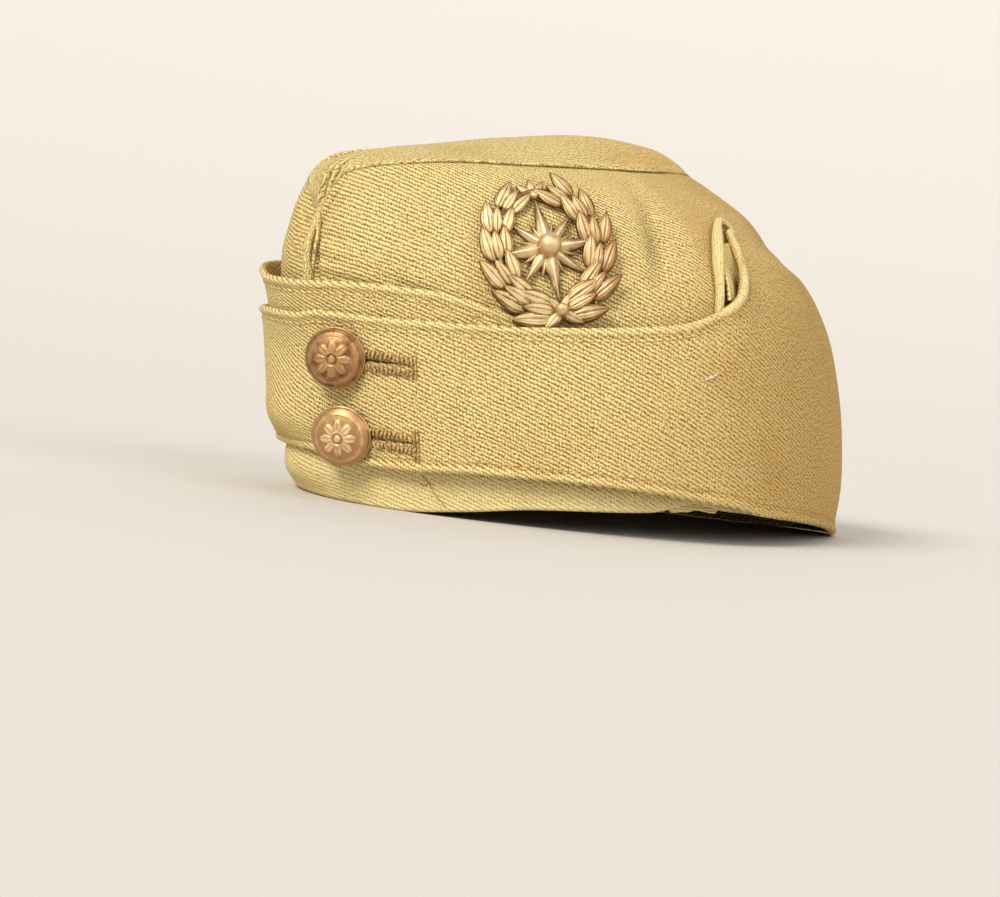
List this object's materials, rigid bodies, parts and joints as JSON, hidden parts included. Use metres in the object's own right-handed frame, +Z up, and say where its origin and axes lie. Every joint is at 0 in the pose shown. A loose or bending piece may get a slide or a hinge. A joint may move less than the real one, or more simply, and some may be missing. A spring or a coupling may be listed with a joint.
{
  "type": "field service cap",
  "caption": "Cloth side cap with a boat-shaped top, turned-up lapped flaps, buttoned front and an oval wreath badge.",
  "frame": {"origin": "middle of the bounding box at its lowest level, under the cap on the surface that it stands on", "axes": "+Z up, the front of the cap faces -Y, the wearer's left side is +X"},
  "size_m": [0.1669, 0.2337, 0.1227],
  "materials": {
    "serge": "coarse golden khaki wool serge, matt",
    "serge_welt": "rolled and corded edges of the same serge",
    "twill_lining": "smooth yellowish cotton twill",
    "bronze": "brown bronze, satin, worn paler on the high places",
    "worn_brass": "dulled cast brass, dark in the hollows"
  },
  "bodies": {
    "root": {"crown_left": "serge", "crown_right": "serge", "crown_top": "serge", "flap_left": "serge", "flap_right": "serge", "welt_front": "serge_welt", "welt_top_left": "serge_welt", "welt_top_right": "serge_welt", "vent_roll_left": "serge_welt", "vent_roll_right": "serge_welt", "lining_band": "twill_lining", "vent_lining_left": "twill_lining", "vent_lining_right": "twill_lining", "button_upper": "bronze", "button_lower": "bronze", "badge": "worn_brass"}
  },
  "joints": []
}
